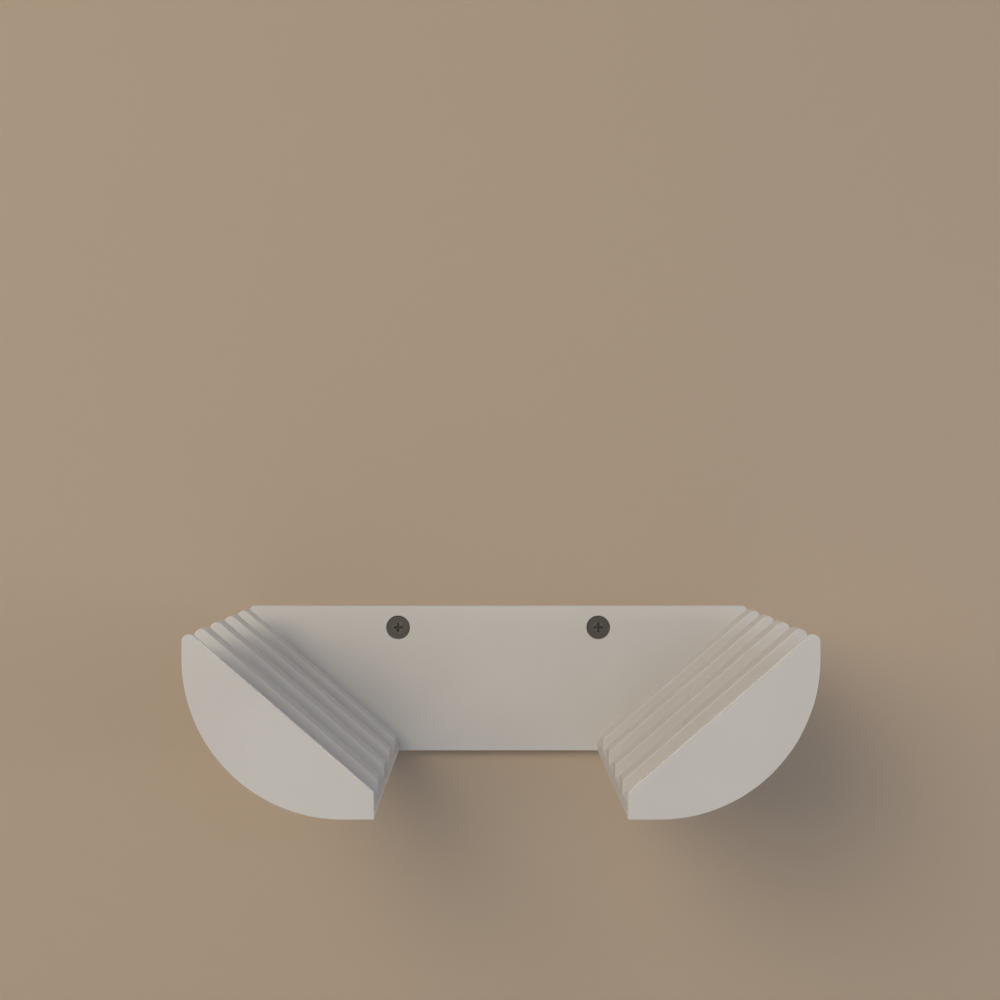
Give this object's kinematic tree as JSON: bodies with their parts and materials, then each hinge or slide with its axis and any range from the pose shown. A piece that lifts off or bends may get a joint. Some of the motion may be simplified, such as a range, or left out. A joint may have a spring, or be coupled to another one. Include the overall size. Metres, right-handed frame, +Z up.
{
  "type": "wall racket holder",
  "caption": "White wall holder for rackets: stacked arms with slots between plates and an open gap in the middle, screwed to the wall.",
  "frame": {"origin": "middle of the back plate's rear face, on the wall", "axes": "+X to the right along the wall, +Y into the wall, +Z up; the arms reach out along -Y"},
  "size_m": [0.21, 0.1697, 0.061],
  "materials": {
    "white_plastic": "matte warm white",
    "black_steel": "black coating",
    "zinc_steel": "zinc plated"
  },
  "bodies": {
    "root": {"back_plate": "white_plastic", "left_wall_screw": "black_steel", "left_saddle_1": "white_plastic", "left_divider_1": "white_plastic", "left_saddle_2": "white_plastic", "left_divider_2": "white_plastic", "left_saddle_3": "white_plastic", "left_divider_3": "white_plastic", "left_saddle_4": "white_plastic", "left_divider_4": "white_plastic", "left_saddle_5": "white_plastic", "left_front_plate": "white_plastic", "left_lower_tie_screw": "zinc_steel", "left_lower_tie_nut": "zinc_steel", "left_upper_tie_screw": "zinc_steel", "left_upper_tie_nut": "zinc_steel", "right_wall_screw": "black_steel", "right_saddle_1": "white_plastic", "right_divider_1": "white_plastic", "right_saddle_2": "white_plastic", "right_divider_2": "white_plastic", "right_saddle_3": "white_plastic", "right_divider_3": "white_plastic", "right_saddle_4": "white_plastic", "right_divider_4": "white_plastic", "right_saddle_5": "white_plastic", "right_front_plate": "white_plastic", "right_lower_tie_screw": "zinc_steel", "right_lower_tie_nut": "zinc_steel", "right_upper_tie_screw": "zinc_steel", "right_upper_tie_nut": "zinc_steel"}
  },
  "joints": []
}
